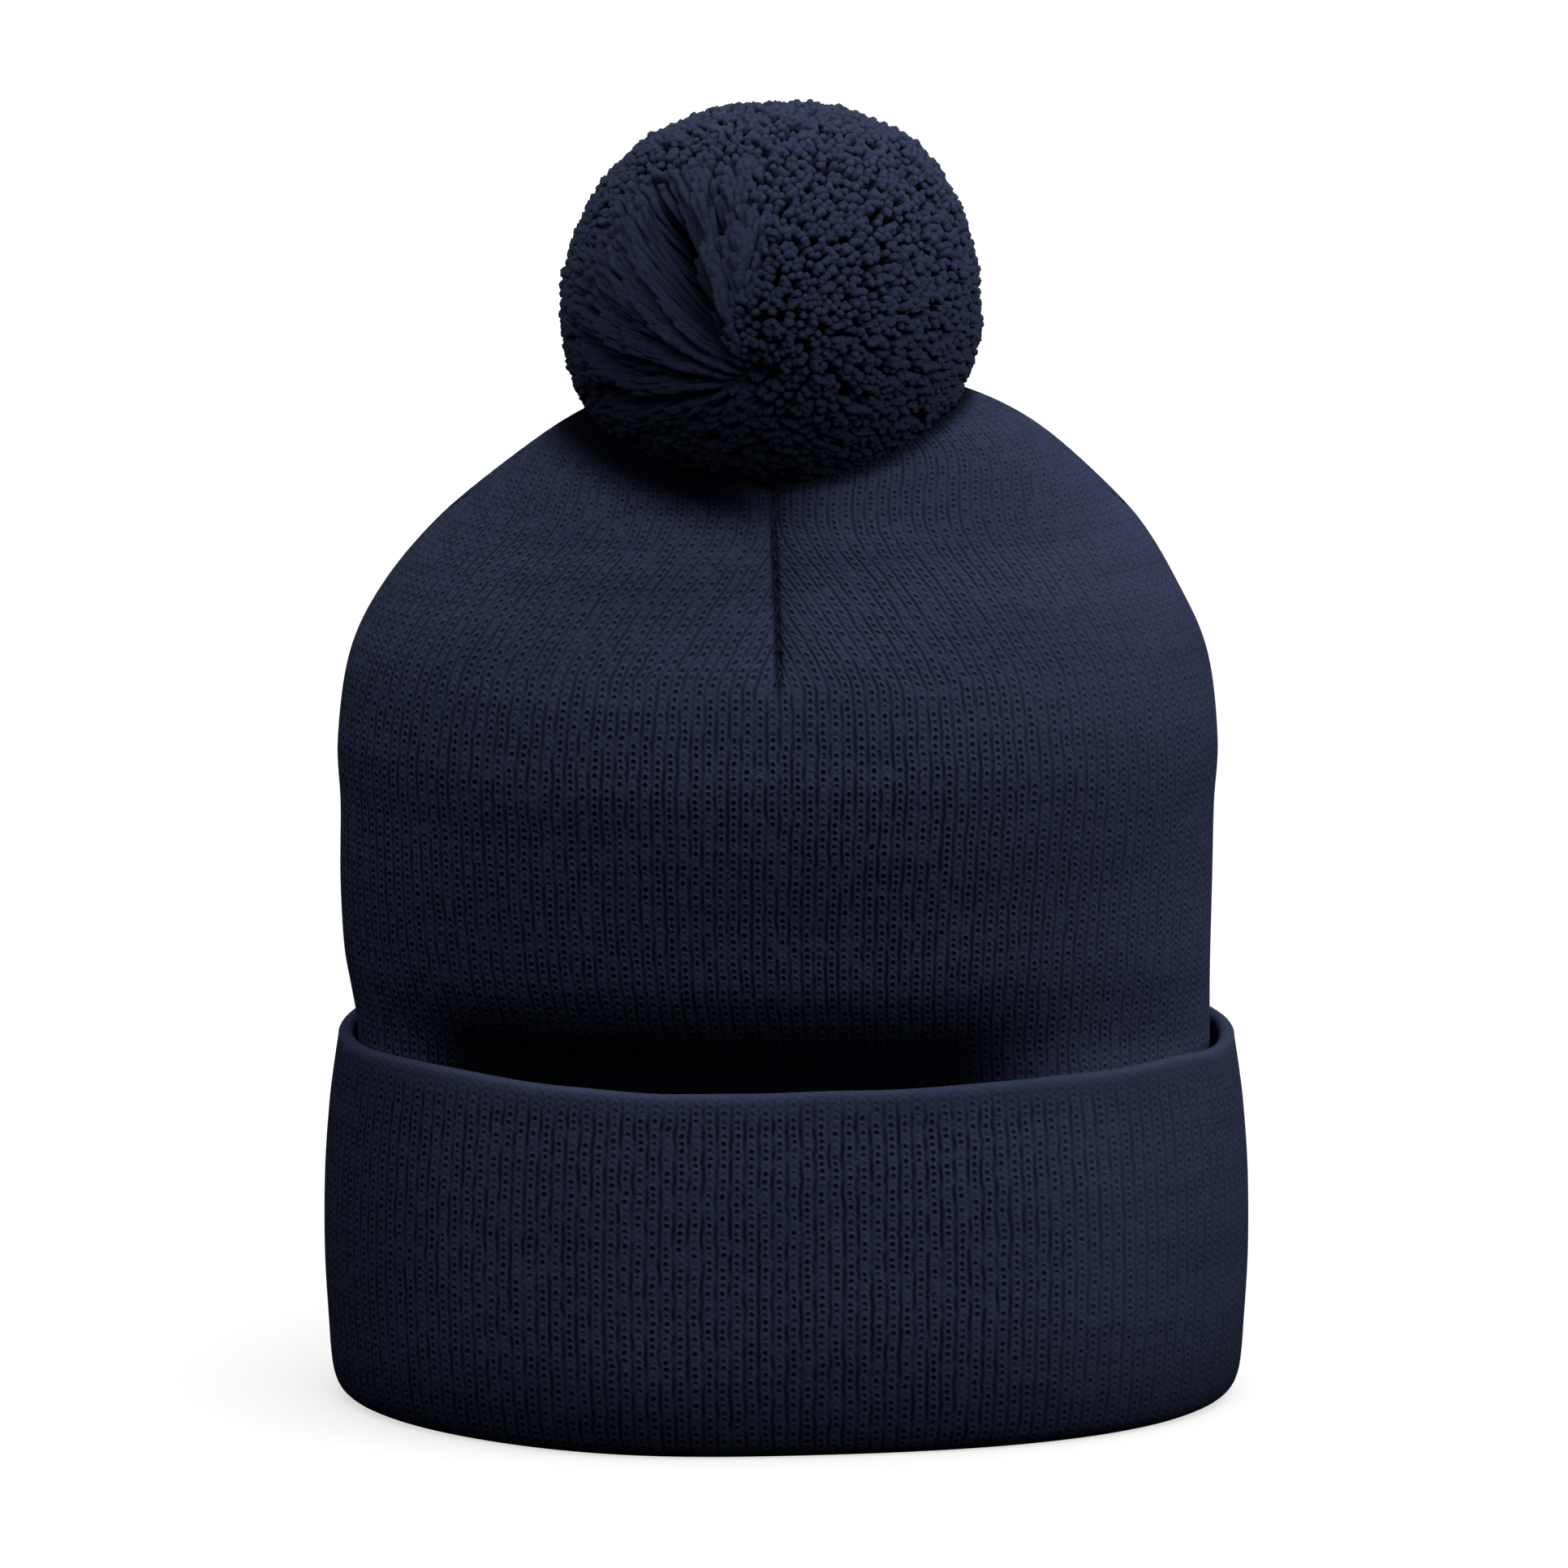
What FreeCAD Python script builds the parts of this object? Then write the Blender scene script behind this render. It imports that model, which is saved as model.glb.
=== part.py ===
"""A two-ply knitted beanie with a turned-up cuff and a yarn pom pom.

Millimetres, +Z up, front towards -Y. The origin is on the resting surface, under the middle of the cuff.
The hat is a long knitted tube pushed back inside itself, so it has an outer shell and an inner lining.
The tube's closed end is gathered with four darts under the pom pom, and its other end is turned up.
"""

import FreeCAD, Part

import math
import os

V = FreeCAD.Vector

# Driving dimensions of the knit
SHELL_PLY = 1.8  # thickness of the outer ply
LINING_PLY = 1.6  # thickness of the inner ply
PLY_GAP = 0.3  # air between the two plies
SHELL_BOTTOM = 3.3  # the tube's lower end, just above the turn of the cuff

# The tube and dome, from the cuff up: height, half width, half depth, sideways lean of the middle
SHELL_PROFILE = [
    (-6.0, 88.2, 57.0, 0.0),
    (25.0, 88.2, 54.3, 0.0),
    (45.0, 88.3, 50.5, 0.0),
    (60.0, 88.4, 46.8, -0.1),
    (72.0, 88.6, 43.2, -0.4),
    (82.0, 88.9, 41.6, -0.8),
    (92.0, 90.0, 43.4, -1.7),
    (109.0, 90.8, 47.6, -2.2),
    (125.0, 91.2, 50.0, -2.1),
    (140.0, 91.6, 50.8, -1.9),
    (150.0, 90.9, 49.8, -1.7),
    (160.0, 88.3, 47.6, -1.5),
    (170.0, 83.4, 44.0, -1.2),
    (180.0, 76.9, 39.9, -0.2),
    (190.0, 68.2, 35.2, 1.0),
    (199.0, 58.4, 30.2, 2.0),
    (207.0, 46.2, 24.2, 2.5),
    (213.0, 33.0, 17.6, 2.6),
    (216.5, 20.0, 10.8, 2.6),
    (218.0, 10.0, 5.4, 2.6),
]

# Driving dimensions of the cuff
CUFF_PLY = 1.55  # thickness of each of its two plies
CUFF_PLY_GAP = 0.1
CUFF_HEIGHT = 77.8  # to the top of the fold
FOLD_HEIGHT = 3.6  # the rolled fold along the cuff's top
FOLD_ROUND = 1.5
TURN_FLOOR = 2.9  # thickness of the turn that the hat stands on
TURN_HEIGHT = 6.0

# The cuff's outer face: height, half width, half depth
CUFF_PROFILE = [
    (0.0, 90.4, 59.4),
    (1.0, 92.6, 61.2),
    (3.0, 94.2, 62.4),
    (7.0, 95.2, 63.1),
    (15.0, 95.6, 63.6),
    (30.0, 96.4, 64.1),
    (47.0, 96.3, 64.0),
    (61.0, 95.4, 63.3),
    (70.0, 94.3, 62.8),
    (79.0, 92.9, 62.2),
]

# Driving dimensions of the pom pom
POM_RADIUS = 43.0
POM_CENTRE = V(-3.3, 0.0, 229.5)
DISH_GAP = 0.5  # room between the ball and the dish that it sits in
TIE_KNOT_RADIUS = 3.2
TIE_WRAP_RADIUS = 5.0
TIE_WRAP_YARN = 1.2
TIE_ROOM = 7.2  # hollow in the middle of the ball
CHANNEL_TOP_RADIUS = 1.6
CHANNEL_MOUTH_RADIUS = 12.8
THREAD_RADIUS = 0.6
THREAD_TOP_GAP = 0.4
KNOT_RADIUS = 3.5

# Dart seams: a raised line of thread on the shell, and one inside the lining
SEAM_WIDTH = 1.2
SEAM_HEIGHT = 0.8
SEAM_OFF = 0.05
SEAM_FRONT_LOW = 157.0
SEAM_SIDE_LOW = 186.5
SEAM_RIM = 0.6  # the seams stop this far short of the dish

# Care label, sewn inside the back
LABEL_WIDTH = 30.0
LABEL_LENGTH = 36.0
LABEL_THICK = 0.5
LABEL_TOP = 160.0
LABEL_OFF = 1.8  # from the lining at its top edge
STITCH_COUNT = 7
STITCH_RADIUS = 0.4
STITCH_GAP = 0.5

BIG = 400.0  # larger than the hat, for cutting tools


def ellipse_wire(height, half_width, half_depth, lean):
    """One horizontal outline of the hat."""
    return Part.Wire([Part.Ellipse(V(lean, 0, height), half_width, half_depth).toShape()])


def stack(outlines):
    """The solid through level outlines, straight from each one to the next."""
    return Part.makeLoft(outlines, True, True)


def inward(profile, depth):
    """The profile moved inwards along its own side normal."""
    moved = []
    for i, (height, half_width, half_depth, lean) in enumerate(profile):
        lower = profile[max(i - 1, 0)]
        upper = profile[min(i + 1, len(profile) - 1)]
        rise = upper[0] - lower[0]
        run = upper[1] - lower[1]
        length = math.hypot(rise, run)
        out = rise / length
        up = -run / length
        moved.append((height - depth * up, half_width - depth * out, half_depth - depth * out, lean))
    return moved


def dome(depth):
    """The solid inside the hat's surface, moved in by depth, with the pom pom's dish in its top."""
    solid = stack([ellipse_wire(*row) for row in inward(SHELL_PROFILE, depth)])
    return solid.cut(Part.makeSphere(POM_RADIUS + DISH_GAP + depth, POM_CENTRE))


def above(height):
    """Everything above a height."""
    return Part.makeBox(BIG, BIG, BIG, V(-BIG / 2, -BIG / 2, height))


def thread_hole():
    """Where the anchor thread passes through both plies."""
    return Part.makeCylinder(THREAD_RADIUS + SEAM_OFF, BIG, V(POM_CENTRE.x, POM_CENTRE.y, 0))


def ply(outer_depth, thickness):
    """One knitted ply of the tube, open at the bottom."""
    wall = dome(outer_depth).cut(dome(outer_depth + thickness))
    return wall.common(above(SHELL_BOTTOM)).cut(thread_hole())


def seam_space(side, low):
    """The thin upright slab that holds one dart seam, on the side of the hat that side points to."""
    box = Part.makeBox(BIG, SEAM_WIDTH, BIG, V(0, -SEAM_WIDTH / 2, low))
    turn = math.degrees(math.atan2(side.y, side.x))
    box.rotate(V(0, 0, 0), V(0, 0, 1), turn)
    return box.cut(Part.makeSphere(POM_RADIUS + DISH_GAP + SEAM_RIM, POM_CENTRE))


def dart_seam(side, low, surface_depth, outward):
    """A line of seam thread that follows the dome, outside the shell or inside the lining."""
    if outward:
        band = dome(surface_depth - SEAM_OFF - SEAM_HEIGHT).cut(dome(surface_depth - SEAM_OFF))
        return band.common(seam_space(side, low))
    band = dome(surface_depth + SEAM_OFF).cut(dome(surface_depth + SEAM_OFF + SEAM_HEIGHT))
    rim = Part.makeSphere(POM_RADIUS + DISH_GAP + surface_depth + SEAM_HEIGHT + SEAM_RIM, POM_CENTRE)
    return band.common(seam_space(side, low)).cut(rim)


def cuff_solid(depth):
    """The solid inside the cuff's outer face, moved in by depth."""
    return stack([ellipse_wire(z, a - depth, b - depth, 0) for z, a, b in CUFF_PROFILE])


def cuff_ring(outer_depth, inner_depth):
    return cuff_solid(outer_depth).cut(cuff_solid(inner_depth))


def below(height):
    """Everything below a height."""
    return Part.makeBox(BIG, BIG, BIG, V(-BIG / 2, -BIG / 2, height - BIG))


def cuff_layer(outer_depth):
    """One upright ply of the cuff, between the bottom turn and the top fold."""
    wall = cuff_ring(outer_depth, outer_depth + CUFF_PLY)
    return wall.common(above(TURN_HEIGHT)).common(below(CUFF_HEIGHT - FOLD_HEIGHT))


def cuff_depth():
    return 2 * CUFF_PLY + CUFF_PLY_GAP


def cuff_top_fold():
    """The rolled edge where the face of the cuff turns over into its back ply."""
    wall = cuff_ring(0, cuff_depth())
    band = wall.common(below(CUFF_HEIGHT)).common(above(CUFF_HEIGHT - FOLD_HEIGHT)).Solids[0]
    crest = [e for e in band.Edges if e.BoundBox.ZMin > CUFF_HEIGHT - FOLD_ROUND]
    return band.makeFillet(FOLD_ROUND, crest)


def cuff_bottom_turn():
    """The turn under the hat, from the lining's inner face out to the face of the cuff."""
    slab = cuff_solid(0).common(Part.makeBox(BIG, BIG, TURN_FLOOR, V(-BIG / 2, -BIG / 2, 0)))
    lining_depth = SHELL_PLY + PLY_GAP + LINING_PLY
    row = SHELL_PROFILE[0]
    bore = ellipse_wire(-1, row[1] - lining_depth, row[2] - lining_depth, 0)
    floor = slab.cut(Part.Face(bore).extrude(V(0, 0, TURN_FLOOR + 2)))
    lip_space = Part.makeBox(BIG, BIG, TURN_HEIGHT - TURN_FLOOR, V(-BIG / 2, -BIG / 2, TURN_FLOOR))
    lip = cuff_ring(0, cuff_depth()).common(lip_space)
    return floor.fuse(lip).removeSplitter()


def pompom_yarn():
    """The ball of cut yarn, with room in it for the tie and for the thread as the ball tilts."""
    ball = Part.makeSphere(POM_RADIUS, POM_CENTRE)
    room = Part.makeSphere(TIE_ROOM, POM_CENTRE)
    channel = Part.makeCone(CHANNEL_TOP_RADIUS, CHANNEL_MOUTH_RADIUS, POM_RADIUS + 1, POM_CENTRE, V(0, 0, -1))
    return ball.cut(room.fuse(channel))


def anchor_thread():
    """The tight thread from just under the ball's tie down to the knot inside the crown."""
    top = POM_CENTRE.z - TIE_WRAP_RADIUS - TIE_WRAP_YARN - THREAD_TOP_GAP
    return Part.makeCylinder(THREAD_RADIUS, top - knot_height(), V(POM_CENTRE.x, POM_CENTRE.y, knot_height()))


def lining_dish_height():
    """The lowest point of the lining's inner face under the pom pom."""
    return POM_CENTRE.z - POM_RADIUS - DISH_GAP - SHELL_PLY - PLY_GAP - LINING_PLY


def knot_height():
    return lining_dish_height() - KNOT_RADIUS - SEAM_OFF


def anchor_knot():
    """The knot that keeps the thread from pulling through the crown."""
    ball = Part.makeSphere(KNOT_RADIUS, V(POM_CENTRE.x, POM_CENTRE.y, knot_height()))
    return ball.cut(anchor_thread())


def label_plane():
    """How far back the label's front face lies."""
    lining_depth = SHELL_PLY + PLY_GAP + LINING_PLY
    upper = next(i for i, row in enumerate(SHELL_PROFILE) if row[0] > LABEL_TOP)
    (low, _, low_depth, _), (high, _, high_depth, _) = SHELL_PROFILE[upper - 1:upper + 1]
    half_depth = low_depth + (high_depth - low_depth) * (LABEL_TOP - low) / (high - low)
    return half_depth - lining_depth - LABEL_OFF - LABEL_THICK


def care_label():
    """A plain woven label that hangs by its top edge."""
    corner = V(-LABEL_WIDTH / 2, label_plane(), LABEL_TOP - LABEL_LENGTH)
    return Part.makeBox(LABEL_WIDTH, LABEL_THICK, LABEL_LENGTH, corner)


def label_stitches():
    """A row of small stitches along the label's top edge, one solid each."""
    pitch = LABEL_WIDTH / STITCH_COUNT
    height = LABEL_TOP + STITCH_RADIUS + STITCH_GAP
    stitches = []
    for i in range(STITCH_COUNT):
        start = (i + 0.2) * pitch - LABEL_WIDTH / 2
        centre = V(start, label_plane() + LABEL_THICK / 2, height)
        stitches.append(Part.makeCylinder(STITCH_RADIUS, 0.6 * pitch, centre, V(1, 0, 0)))
    return Part.makeCompound(stitches)


def save(name, shape):
    shape.exportStep(f"parts/{name}.step")
    size = shape.BoundBox
    print(f"{name:20} {len(shape.Solids):2} solid {shape.Volume:10.0f} mm3 valid {shape.isValid()} "
          f"z {size.ZMin:.1f} to {size.ZMax:.1f}")


def main():
    os.makedirs("parts", exist_ok=True)
    lining_out = SHELL_PLY + PLY_GAP
    save("outer_shell", ply(0, SHELL_PLY))
    save("inner_lining", ply(lining_out, LINING_PLY))
    sides = {
        "front": (V(0, -1, 0), SEAM_FRONT_LOW),
        "back": (V(0, 1, 0), SEAM_FRONT_LOW),
        "left": (V(-1, 0, 0), SEAM_SIDE_LOW),
        "right": (V(1, 0, 0), SEAM_SIDE_LOW),
    }
    for name, (side, low) in sides.items():
        save(f"dart_seam_{name}", dart_seam(side, low, 0, True))
        save(f"lining_seam_{name}", dart_seam(side, low, lining_out + LINING_PLY, False))
    save("anchor_thread", anchor_thread())
    save("anchor_knot", anchor_knot())
    save("label_stitches", label_stitches())
    save("cuff_face_layer", cuff_layer(0))
    save("cuff_back_layer", cuff_layer(CUFF_PLY + CUFF_PLY_GAP))
    save("cuff_top_fold", cuff_top_fold())
    save("cuff_bottom_turn", cuff_bottom_turn())
    save("tie_knot", Part.makeSphere(TIE_KNOT_RADIUS, POM_CENTRE))
    save("tie_wrap", Part.makeTorus(TIE_WRAP_RADIUS, TIE_WRAP_YARN, POM_CENTRE, V(0, 0, 1)))
    save("pompom_yarn", pompom_yarn())
    save("care_label", care_label())


main()
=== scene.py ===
"""Looks of a two-ply knitted beanie: the knit, its darts and cuff, the pom pom and the small sewn pieces."""

import bisect
import math
import random

import bmesh
import bpy
from bpy.props import FloatProperty, FloatVectorProperty, IntProperty, PointerProperty
from mathutils import Matrix, Vector, noise


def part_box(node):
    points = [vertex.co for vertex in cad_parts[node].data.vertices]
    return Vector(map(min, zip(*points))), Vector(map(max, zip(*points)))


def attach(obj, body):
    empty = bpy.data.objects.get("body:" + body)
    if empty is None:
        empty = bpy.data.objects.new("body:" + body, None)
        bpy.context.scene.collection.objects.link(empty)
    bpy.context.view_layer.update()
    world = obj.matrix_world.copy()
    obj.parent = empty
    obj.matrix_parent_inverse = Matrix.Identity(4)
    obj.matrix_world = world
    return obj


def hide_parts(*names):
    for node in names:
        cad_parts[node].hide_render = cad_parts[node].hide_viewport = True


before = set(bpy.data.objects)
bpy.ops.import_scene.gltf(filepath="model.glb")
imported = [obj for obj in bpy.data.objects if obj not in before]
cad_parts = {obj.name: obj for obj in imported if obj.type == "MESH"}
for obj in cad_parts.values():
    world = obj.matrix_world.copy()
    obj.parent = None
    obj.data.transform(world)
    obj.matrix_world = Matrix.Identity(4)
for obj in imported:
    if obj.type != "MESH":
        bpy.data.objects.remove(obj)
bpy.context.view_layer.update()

bl_info = {
    "name": "Pom Pom Beanie",
    "version": (1, 0, 0),
    "blender": (4, 5, 0),
    "location": "View3D > Sidebar > Beanie",
    "description": "Builds a knitted beanie with a turned-up cuff and a yarn pom pom",
    "category": "Object",
}

MM = 0.001

# Height, half width, half depth and sideways lean of the tube and dome, in millimetres, from the cuff up
SHELL_ROWS = [
    (-6.0, 88.2, 57.0, 0.0),
    (25.0, 88.2, 54.3, 0.0),
    (45.0, 88.3, 50.3, 0.0),
    (60.0, 88.4, 46.0, -0.1),
    (72.0, 88.6, 41.6, -0.4),
    (80.0, 88.9, 40.2, -0.7),
    (87.0, 89.5, 42.4, -1.3),
    (95.0, 90.2, 45.2, -1.9),
    (109.0, 90.7, 48.0, -2.1),
    (125.0, 90.8, 51.0, -1.9),
    (139.0, 91.4, 52.2, -1.8),
    (157.0, 89.0, 49.2, -1.6),
    (171.0, 82.6, 43.8, -1.2),
    (185.0, 72.6, 37.8, 0.4),
    (199.0, 58.0, 30.6, 2.0),
    (208.0, 44.8, 24.0, 2.6),
    (214.0, 29.2, 16.2, 2.6),
    (217.5, 12.0, 6.5, 2.6),
    (218.3, 0.01, 0.01, 2.6),
]
SHELL_BOTTOM = 3.3

# Height, half width and half depth of the cuff's outer face, in millimetres
CUFF_ROWS = [
    (0.0, 90.4, 58.9),
    (1.0, 92.4, 60.5),
    (3.0, 94.0, 61.7),
    (7.0, 95.0, 62.7),
    (15.0, 95.6, 63.6),
    (30.0, 96.4, 64.1),
    (47.0, 96.3, 64.0),
    (61.0, 95.4, 63.3),
    (70.0, 94.3, 62.8),
    (79.0, 92.9, 62.2),
]
# The cuff's inner lip, from the foot of its back ply round to the resting face
LIP_ROWS = [
    (5.0, 91.2, 59.4),
    (3.2, 90.2, 58.6),
    (2.9, 86.6, 55.2),
    (2.2, 84.9, 53.6),
    (1.1, 84.6, 53.3),
    (0.3, 85.3, 54.0),
    (0.0, 86.6, 55.3),
]

# Where the four darts of the crown lie: heights in millimetres
FRONT_DART_TIP = 157.0
FRONT_DART_TOP = 205.0
SIDE_DART_TIP = 185.0

# How far off the middle the front dart's seam lies, at its tip and at its top
FRONT_SEAM = (-1.5, -3.0)

POM_CENTRE = Vector((-3.3, 0.0, 229.5))
# The dish that the pom pom sits in, and how softly its rim turns, in millimetres
DISH_RADIUS = 43.5
DISH_ROUND = 1.2


# ---- sizes and colours


def number_setting(name, text, value, **more):
    return FloatProperty(name=name, description=text, default=value, **more)


def length_setting(name, text, value):
    return number_setting(name, text, value, unit="LENGTH", precision=5)


def count_setting(name, text, value):
    return IntProperty(name=name, description=text, default=value)


def colour_setting(name, text, value):
    return FloatVectorProperty(name=name, description=text, default=value, subtype="COLOR", size=3)


class KnitSettings(bpy.types.PropertyGroup):
    """The knit of the shell, the lining and the cuff."""

    wales: count_setting("Wales", "Columns of stitches round the hat, a multiple of four", 176)
    course: length_setting("Course", "Height of one row of stitches", 0.0016)
    shell_ply: length_setting("Shell ply", "Thickness of the outer ply", 0.0018)
    lining_ply: length_setting("Lining ply", "Thickness of the inner ply", 0.0016)
    ply_gap: length_setting("Ply gap", "Air between the plies", 0.0003)
    relief: length_setting("Relief", "Depth of the grooves between wales", 0.00016)
    dart_share: number_setting("Dart share", "The darts' share of the crown's narrowing", 0.8)
    dart_depth: length_setting("Dart depth", "How far a dart pulls the knit in", 0.0030)
    dart_spread: length_setting("Dart spread", "How wide the pull of a dart is", 0.0038)
    navy: colour_setting("Navy", "Colour of the yarn", (0.0180, 0.0233, 0.0474))
    shade: colour_setting("Shade", "Colour of the yarn in its hollows", (0.0014, 0.0019, 0.0060))


class CuffSettings(bpy.types.PropertyGroup):
    """The turned-up cuff."""

    height: length_setting("Height", "Top of the rolled fold", 0.0778)
    fold: length_setting("Fold", "Radius of the rolled fold", 0.0017)
    relief: length_setting("Relief", "Depth of the grooves between wales", 0.00024)


class PomSettings(bpy.types.PropertyGroup):
    """The pom pom and what ties it on."""

    radius: length_setting("Radius", "Radius of the ball", 0.0430)
    strands: count_setting("Strands", "Cut ends of yarn over the whole ball", 11400)
    yarn: length_setting("Yarn", "Radius of one strand", 0.00094)
    seed: count_setting("Seed", "Seed of the strands' scatter", 7)
    navy: colour_setting("Navy", "Colour of the cut ends", (0.0140, 0.0186, 0.0400))
    shade: colour_setting("Shade", "Colour deep between the strands", (0.0026, 0.0034, 0.0076))


class StudioSettings(bpy.types.PropertyGroup):
    """The floor, the lights and the camera."""

    distance: length_setting("Distance", "From the camera to the hat", 4.0)
    elevation: number_setting("Elevation", "Angle above the floor", math.radians(11.7), subtype="ANGLE")
    width: length_setting("Width", "Width of the picture at the hat", 0.3259)
    aim: length_setting("Aim", "Height that the camera looks at", 0.1288)


# ---- shader helpers


class Wiring:
    """Short calls that add shader nodes to a tree and join them up."""

    def __init__(self, tree):
        self.tree = tree

    def add(self, kind, **settings):
        node = self.tree.nodes.new(kind)
        for name, value in settings.items():
            setattr(node, name, value)
        return node

    def feed(self, socket, value):
        if isinstance(value, bpy.types.NodeSocket):
            self.tree.links.new(value, socket)
        else:
            socket.default_value = value

    def math(self, operation, first, second=0.0, third=0.0, clamp=False):
        node = self.add("ShaderNodeMath", operation=operation, use_clamp=clamp)
        for socket, value in zip(node.inputs, (first, second, third)):
            self.feed(socket, value)
        return node.outputs[0]

    def times(self, first, *others):
        for other in others:
            first = self.math("MULTIPLY", first, other)
        return first

    def vector(self, operation, *values):
        node = self.add("ShaderNodeVectorMath", operation=operation)
        for socket, value in zip(node.inputs, values):
            self.feed(socket, value)
        return node.outputs

    def axes(self, vector):
        node = self.add("ShaderNodeSeparateXYZ")
        self.feed(node.inputs[0], vector)
        return node.outputs

    def coordinates(self, kind="Object"):
        return self.add("ShaderNodeTexCoord").outputs[kind]

    def named(self, kind, **inputs):
        """A node with its inputs fed by name, and the first of its outputs."""
        node = self.add(kind)
        for name, value in inputs.items():
            self.feed(node.inputs[name], value)
        return node.outputs[0]

    def bump(self, height, distance, strength=1.0):
        return self.named("ShaderNodeBump", Height=height, Distance=distance, Strength=strength)

    def smooth(self, value, low, high, start=0.0, end=1.0):
        node = self.add("ShaderNodeMapRange", interpolation_type="SMOOTHSTEP")
        for socket, given in zip(node.inputs, (value, low, high, start, end)):
            self.feed(socket, given)
        return node.outputs[0]

    def noise(self, vector, scale, detail=2.0, roughness=0.5):
        return self.named("ShaderNodeTexNoise", Vector=vector, Scale=scale, Detail=detail, Roughness=roughness)

    def scaled(self, vector, scale):
        return self.named("ShaderNodeMapping", Vector=vector, Scale=scale)

    def mix(self, factor, first, second):
        node = self.add("ShaderNodeMix", data_type="RGBA")
        self.feed(node.inputs[0], factor)
        self.feed(node.inputs[6], first)
        self.feed(node.inputs[7], second)
        return node.outputs[2]

    def place(self, group, **values):
        node = self.add("ShaderNodeGroup", node_tree=group)
        for name, value in values.items():
            self.feed(node.inputs[name], value)
        return node.outputs


def group_tree(name, inputs, outputs):
    """An empty shader group with these named sockets, and the wiring of its inside."""
    tree = bpy.data.node_groups.new(name, "ShaderNodeTree")
    for socket, kind, value in inputs:
        made = tree.interface.new_socket(name=socket, in_out="INPUT", socket_type=kind)
        if value is not None:
            made.default_value = value
    for socket, kind in outputs:
        tree.interface.new_socket(name=socket, in_out="OUTPUT", socket_type=kind)
    wiring = Wiring(tree)
    return tree, wiring, wiring.add("NodeGroupInput").outputs, wiring.add("NodeGroupOutput").inputs


def stitch_group():
    """Plain knit on a stitch map: u counts wales and v counts courses."""
    if "stitches" in bpy.data.node_groups:
        return bpy.data.node_groups["stitches"]
    tree, w, given, made = group_tree(
        "stitches",
        [
            ("Stitch", "NodeSocketVector", None),
            ("Line", "NodeSocketFloat", 0.8),
            ("Dot", "NodeSocketFloat", 0.8),
            ("Fade", "NodeSocketFloat", 1.0),
        ],
        [("Hollow", "NodeSocketFloat"), ("Height", "NodeSocketFloat"), ("Fibre", "NodeSocketFloat")],
    )
    stitch = given["Stitch"]
    axes = w.axes(stitch)
    wander = w.math("SUBTRACT", w.noise(stitch, 0.32, 3.0), 0.5)
    along = w.math("MULTIPLY_ADD", wander, 0.5, axes[0])
    up = w.math("MULTIPLY_ADD", wander, 0.7, axes[1])
    from_groove = w.math("PINGPONG", along, 0.5)
    from_middle = w.math("SUBTRACT", 0.5, from_groove)
    strength = w.smooth(w.noise(w.scaled(stitch, (0.6, 0.3, 1.0)), 1.0, 2.0), 0.34, 0.6, 0.35, 1.0)
    groove = w.times(w.smooth(from_groove, 0.03, 0.24, 1.0, 0.0), strength, given["Line"], given["Fade"])
    half_course = w.math("SUBTRACT", 0.5, w.math("PINGPONG", up, 0.5))
    dot_along = w.math("DIVIDE", from_middle, 0.23)
    dot_up = w.math("DIVIDE", half_course, 0.42)
    reach = w.math("SQRT", w.math("ADD", w.math("POWER", dot_along, 2.0), w.math("POWER", dot_up, 2.0)))
    dot_strength = w.smooth(w.noise(w.scaled(stitch, (0.9, 0.7, 1.0)), 1.0, 1.0), 0.36, 0.58, 0.12, 1.0)
    dot = w.times(w.smooth(reach, 0.25, 1.1, 1.0, 0.0), dot_strength, given["Dot"], given["Fade"])
    lean = w.math("MULTIPLY_ADD", from_middle, 1.6, up)
    leg = w.math("MULTIPLY_ADD", w.math("COSINE", w.times(lean, math.tau)), 0.5, 0.5)
    fibre = w.noise(w.scaled(stitch, (2.4, 1.4, 1.0)), 2.6, 4.0, 0.7)
    # Hollow marks the grooves and holes that get painted shade
    hollow = w.math("MAXIMUM", groove, dot)
    height = w.math("MULTIPLY_ADD", leg, 0.12, w.math("SUBTRACT", 1.0, hollow))
    height = w.math("MULTIPLY_ADD", fibre, 0.35, height)
    w.feed(made["Hollow"], hollow)
    w.feed(made["Height"], height)
    w.feed(made["Fibre"], fibre)
    return tree


def twist_group():
    """Plied yarn on a strand map: u runs round the strand and v along it, in millimetres."""
    if "twist" in bpy.data.node_groups:
        return bpy.data.node_groups["twist"]
    tree, w, given, made = group_tree(
        "twist",
        [
            ("Strand", "NodeSocketVector", None),
            ("Turns", "NodeSocketFloat", 0.3),
            ("Fuzz", "NodeSocketFloat", 0.6),
        ],
        [("Height", "NodeSocketFloat"), ("Fibre", "NodeSocketFloat")],
    )
    axes = w.axes(given["Strand"])
    slant = w.math("MULTIPLY_ADD", axes[1], given["Turns"], w.times(axes[0], 2.0))
    ply = w.math("MULTIPLY_ADD", w.math("COSINE", w.times(slant, math.tau)), 0.5, 0.5)
    fibre = w.noise(w.scaled(given["Strand"], (5.0, 1.2, 1.0)), 1.6, 4.0, 0.7)
    w.feed(made["Height"], w.math("MULTIPLY_ADD", fibre, given["Fuzz"], ply))
    w.feed(made["Fibre"], fibre)
    return tree


def blank_material(name):
    material = bpy.data.materials.new(name)
    material.use_nodes = True
    return material, Wiring(material.node_tree), material.node_tree.nodes["Principled BSDF"].inputs


def set_constants(shader, values):
    for name, value in values.items():
        shader[name].default_value = value


def soft_finish(shader, gloss, sheen):
    """The constants of a matte, slightly hairy cloth."""
    set_constants(shader, {
        "Roughness": 0.9,
        "Specular IOR Level": gloss,
        "Sheen Weight": sheen,
        "Sheen Roughness": 0.55,
        "Sheen Tint": (0.4, 0.5, 0.9, 1.0),
    })


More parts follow.
